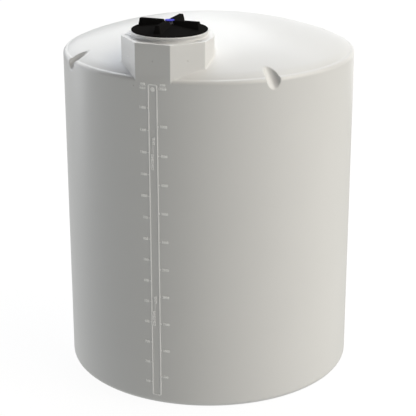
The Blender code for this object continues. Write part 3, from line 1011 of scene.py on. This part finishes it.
def makeLidPlate():
    inside = lid["skirt"] - lid["skirtWall"]
    rounding = lid["edgeRound"]
    flange = lid["flange"]
    small, flangeTop, flangeLow = lid["smallRound"], lid["flangeTop"], lid["flangeLow"]
    reaches = list(lid["crownReaches"])
    reaches += evenPoints(reaches[-1], lid["coneFoot"] - 0.002, lid["coneSteps"])[1:]
    points = [(0, lid["crown"])] + [(reach, coneHeight(reach)) for reach in reaches]
    points += [(lid["coneFoot"] + 0.0005, flangeTop + 0.0003), (lid["coneFoot"] + 0.002, flangeTop)]
    points += arcPoints((flange - rounding, flangeTop - rounding), rounding, 90, 0, 5)
    points += arcPoints((flange - small, flangeLow + small), small, 0, -90, 3)
    points += [(inside, flangeLow), (inside, flangeLow + 0.001)]
    underside = evenPoints(inside - 0.004, lid["crownRadius"], 6)
    points += [(reach, coneHeight(reach) - lid["thickness"]) for reach in underside]
    points += [(0, lid["crown"] - lid["thickness"])]
    piece = turnProfile("lidPlate", points, lid["steps"])
    placeOnNeck(piece)
    finishPiece(piece, black, "lid", ["lid_plate"], 30)


def makeSkirt():
    top = lid["flangeLow"] - lid["skirtGap"]
    low = top - lid["skirtDepth"]
    outer, inner = lid["skirt"], lid["skirt"] - lid["skirtWall"]
    rounding, flank = lid["skirtRound"], lid["threadFlank"]
    points = [(inner, top), (outer, top)]
    points += arcPoints((outer - rounding, low + rounding), rounding, 0, -90, 4)
    points += arcPoints((inner + 0.001, low + 0.001), 0.001, 270, 180, 3) + [(inner, top)]
    ring = turnProfile("lidSkirt", points, lid["steps"])
    # a flat section, narrower on its outer side, is screwed round the skirt
    middleOut, middleUp = outer + lid["threadOut"], low + lid["threadStart"]
    bpy.ops.object.select_all(action="DESELECT")
    bpy.ops.mesh.primitive_plane_add(size=1, rotation=(math.pi / 2, 0, 0), location=(middleOut, 0, middleUp))
    thread = bpy.context.object
    thread.scale = (lid["thread"], lid["threadTall"], 1)
    settle(thread)
    for vertex in thread.data.vertices:
        if vertex.co.x > middleOut:
            vertex.co.z += -flank if vertex.co.z > middleUp else flank
    turns = lid["threadTurns"]
    screw = thread.modifiers.new("thread", "SCREW")
    screw.angle = math.tau * turns
    screw.screw_offset = lid["threadPitch"] * turns
    screw.steps = screw.render_steps = int(lid["threadSteps"] * turns)
    screw.use_merge_vertices = True
    screw.merge_threshold = 0.00001
    screw.use_normal_calculate = True
    applyAll(thread)
    tidyMesh(thread, 0.00001)
    piece = joinAll([ring, thread], "lidSkirt")
    placeOnNeck(piece)
    finishPiece(piece, black, "lid", ["lid_skirt"], 40)


grip = {
    "inner": (0.034, 0.041),       # reach at the foot and at the top
    "outer": (0.197, 0.190),
    "width": (0.046, 0.027),
    "top": 0.0605,
    "edgeRound": 0.0035,
    "footRound": 0.006,
    "footCuts": (0.0012, 0.0026, 0.0042, 0.0060),
    "slopeReaches": (0.05, 0.15),
    "clear": 0.0002,               # how far the foot's rim lies above the plate
}


def makeGripArm():
    bpy.ops.object.select_all(action="DESELECT")
    bpy.ops.mesh.primitive_cube_add(size=1)
    piece = bpy.context.object
    for vertex in piece.data.vertices:
        level = 1 if vertex.co.z > 0 else 0
        reach = (grip["outer"] if vertex.co.x > 0 else grip["inner"])[level]
        half = math.copysign(grip["width"][level] / 2, vertex.co.y)
        vertex.co = (reach, half, grip["top"] if level else coneHeight(reach))
    verts = piece.data.vertices
    openMesh(piece)
    selectWhere(piece, "EDGE", lambda edge: max(verts[i].co.z for i in edge.vertices) > grip["top"] - 0.001)
    bpy.ops.mesh.bevel(offset=grip["edgeRound"], segments=4, affect="EDGES")
    near, far = grip["slopeReaches"]
    slope = (coneHeight(near) - coneHeight(far)) / (far - near)
    for height in grip["footCuts"]:
        bpy.ops.mesh.select_all(action="SELECT")
        bpy.ops.mesh.bisect(plane_co=(near, 0, coneHeight(near) + height), plane_no=(slope, 0, 1))
    closeMesh()
    piece.data.update()
    ball = grip["footRound"]
    for vertex in piece.data.vertices:
        above = vertex.co.z - coneHeight(vertex.co.x)
        if above > ball:
            continue
        flat = Vector((vertex.normal.x, vertex.normal.y))
        if flat.length < 0.01:
            continue
        flat.normalize()
        lower = max(ball - above, 0)
        out = ball - math.sqrt(max(ball ** 2 - lower ** 2, 0))
        vertex.co.x += flat.x * out
        vertex.co.y += flat.y * out
        vertex.co.z = coneHeight(math.hypot(vertex.co.x, vertex.co.y)) + max(above, 0.0) + grip["clear"]
    return piece


def makeGrip():
    arms = [makeGripArm()]
    for number in range(1, 4):
        copy = arms[0].copy()
        copy.data = arms[0].data.copy()
        bpy.context.scene.collection.objects.link(copy)
        copy.rotation_euler.z = number * math.pi / 2
        arms.append(copy)
    for arm in arms:
        settle(arm)
    piece = joinAll(arms, "gripArms")
    placeOnNeck(piece)
    grips = [f"lid_grip_{side}" for side in ("front", "right", "back", "left")]
    finishPiece(piece, black, "lid", grips, 40)


gasket = {
    "inner": 0.2195,
    "outer": 0.2285,
    "low": 0.0003,
    "high": 0.0023,
    "edgeRound": 0.0006,
}


def makeGasket():
    inner, outer, low, high = gasket["inner"], gasket["outer"], gasket["low"], gasket["high"]
    soft = gasket["edgeRound"]
    points = arcPoints((outer - soft, high - soft), soft, 90, 0, 3)
    points += arcPoints((outer - soft, low + soft), soft, 0, -90, 3)
    points += arcPoints((inner + soft, low + soft), soft, 270, 180, 3)
    points += arcPoints((inner + soft, high - soft), soft, 180, 90, 3)
    points.append(points[0])
    piece = turnProfile("lidGasket", points, lid["steps"])
    placeOnNeck(piece)
    finishPiece(piece, rubber, "gasket", ["lid_gasket"])


# Vent in the middle of the lid

vent = {
    "cup": 0.0195,
    "bore": 0.0165,
    "cupHeight": 0.016,
    "cupFloor": 0.0025,
    "stem": 0.0045,
    "cap": 0.0295,
    "capLow": 0.0228,
    "capThick": 0.0028,
    "capRound": 0.0012,
    "smallRound": 0.0008,
    "steps": 64,
}


def makeVent():
    crown = lid["crown"]
    cup, bore, height = vent["cup"], vent["bore"], vent["cupHeight"]
    small, rounding, stem = vent["smallRound"], vent["capRound"], vent["stem"]
    points = [(0, vent["cupFloor"]), (bore - 0.001, vent["cupFloor"]), (bore, vent["cupFloor"] + 0.001)]
    points += arcPoints((bore + small, height - small), small, 180, 90, 3)
    points += arcPoints((cup - small, height - small), small, 90, 0, 3)
    points += [(cup, height - 0.004), (cup - 0.001, height - 0.0048), (cup - 0.001, 0.004), (cup, 0.0025),
               (cup, 0.0003), (0, 0.0003)]
    piece = turnProfile("ventCup", points, vent["steps"])
    piece.location = (0, manway["middleY"], seat + crown)
    finishPiece(piece, smoke, "lid", ["vent_cup"])

    cap, low, thick = vent["cap"], vent["capLow"], vent["capThick"]
    high = low + thick
    points = [(0, high), (cap - 0.007, high), (cap - 0.0065, high - 0.0004), (cap - 0.0055, high - 0.0004),
              (cap - 0.005, high)]
    points += arcPoints((cap - rounding, high - rounding), rounding, 90, 0, 4)
    points += arcPoints((cap - small, low + small), small, 0, -90, 3)
    points += [(cap - 0.003, low), (cap - 0.0035, low + 0.0012), (0.010, low + 0.0012), (0.009, low),
               (stem + 0.001, low), (stem, low - 0.001), (stem, 0.0040), (0.0035, 0.0028), (0, 0.0028)]
    piece = turnProfile("ventCap", points, vent["steps"])
    piece.location = (0, manway["middleY"], seat + crown)
    finishPiece(piece, blue, "vent", ["vent_cap"])


makeShell()
makeHousing()
makeNeck()
makeBorder()
makeMarks()
makeLidPlate()
makeSkirt()
makeGrip()
makeGasket()
makeVent()


# Studio

studio = {
    "floorSize": 120,
    "floorColour": (0.10, 0.10, 0.10),
    "floorRoughness": 0.8,
    "floorDrop": 0.0005,
    "floorGlow": 0.93,      # it glows, so it is nearly white with a faint shadow
    "skyHigh": 0.0,
    "skyLow": 0.54,
    "skyTint": (0.99, 1.00, 0.952),
    "skyBlend": 0.3,
    "sunSoftness": 50,
    "suns": (               # name, strength, colour, azimuth and elevation
        ("rightLight", 1.56, (1.00, 0.948, 0.854), 80, 30),
        ("rightBackLight", 1.32, (1.00, 0.976, 0.880), 120, 50),
        ("leftLight", 1.15, (0.967, 0.978, 1.00), -100, 10),
        ("leftBackLight", 0.93, (0.986, 1.00, 0.996), -140, 30),
        ("highBackLight", 0.67, (0.83, 0.90, 1.00), -160, 50),
        ("lowBackLight", 0.45, (0.966, 0.982, 1.00), 180, 10),
    ),
}


def makeFloor():
    bpy.ops.object.select_all(action="DESELECT")
    bpy.ops.mesh.primitive_plane_add(size=studio["floorSize"], location=(0, 0, -studio["floorDrop"]))
    floor = bpy.context.object
    floor.name = "studioFloor"
    look, shader = newLook("studioFloor", studio["floorColour"], studio["floorRoughness"])[:2]
    shader.inputs["Specular IOR Level"].default_value = 0.0
    shader.inputs["Emission Color"].default_value = (1, 1, 1, 1)
    shader.inputs["Emission Strength"].default_value = studio["floorGlow"]
    floor.data.materials.append(look)
    # the light that it throws back comes from the lower half of the sky instead
    floor.visible_diffuse = floor.visible_glossy = floor.visible_transmission = floor.visible_shadow = False


def makeSky():
    # light thrown back by a pale floor fills in from below, and the camera sees white
    world = bpy.data.worlds.new("studioSky")
    bpy.context.scene.world = world
    world.use_nodes = True
    nodes, links = world.node_tree.nodes, world.node_tree.links
    glow = nodes["Background"]
    where = nodes.new("ShaderNodeTexCoord")
    split = nodes.new("ShaderNodeSeparateXYZ")
    links.new(where.outputs["Generated"], split.inputs["Vector"])
    spread = nodes.new("ShaderNodeMapRange")
    spread.interpolation_type = "SMOOTHSTEP"
    spread.inputs["From Min"].default_value = -studio["skyBlend"]
    spread.inputs["From Max"].default_value = studio["skyBlend"]
    spread.inputs["To Min"].default_value = studio["skyLow"]
    spread.inputs["To Max"].default_value = studio["skyHigh"]
    links.new(split.outputs["Z"], spread.inputs["Value"])
    links.new(spread.outputs["Result"], glow.inputs["Strength"])
    seen = nodes.new("ShaderNodeBackground")
    seen.inputs["Strength"].default_value = 1.0
    rays = nodes.new("ShaderNodeLightPath")
    both = nodes.new("ShaderNodeMixShader")
    links.new(rays.outputs["Is Camera Ray"], both.inputs["Fac"])
    links.new(glow.outputs["Background"], both.inputs[1])
    links.new(seen.outputs["Background"], both.inputs[2])
    links.new(both.outputs["Shader"], nodes["World Output"].inputs["Surface"])
    glow.inputs["Color"].default_value = (*studio["skyTint"], 1)
    seen.inputs["Color"].default_value = (1, 1, 1, 1)


def addSun(name, strength, colour, azimuth, elevation):
    # azimuth 0 shines from the front of the tank and 90 from its right
    data = bpy.data.lights.new(name, "SUN")
    data.energy = strength
    data.color = colour
    data.angle = math.radians(studio["sunSoftness"])
    light = bpy.data.objects.new(name, data)
    bpy.context.scene.collection.objects.link(light)
    flat = math.cos(math.radians(elevation))
    towards = Vector((flat * math.sin(math.radians(azimuth)), -flat * math.cos(math.radians(azimuth)),
                      math.sin(math.radians(elevation))))
    light.rotation_euler = towards.to_track_quat("Z", "Y").to_euler()


shot = {
    "place": (3.0695, -8.1050, 4.1186),
    "aim": (-0.3341, 0.8802, -0.3371),
    "roll": 0.08,        # degrees, clockwise
    "lens": 117.77,
    "sensorWidth": 36,
    "seesTo": 200,
}


def makeCamera():
    data = bpy.data.cameras.new("photoCamera")
    data.lens = shot["lens"]
    data.sensor_width = shot["sensorWidth"]
    data.clip_end = shot["seesTo"]
    camera = bpy.data.objects.new("photoCamera", data)
    bpy.context.scene.collection.objects.link(camera)
    camera.location = shot["place"]
    turn = Vector(shot["aim"]).to_track_quat("-Z", "Y").to_matrix()
    camera.rotation_euler = (turn @ Matrix.Rotation(math.radians(-shot["roll"]), 3, "Z")).to_euler()
    bpy.context.scene.camera = camera


makeFloor()
makeSky()
for sun in studio["suns"]:
    addSun(*sun)
makeCamera()
bpy.context.scene.view_settings.view_transform = "Standard"
print("studio lit")
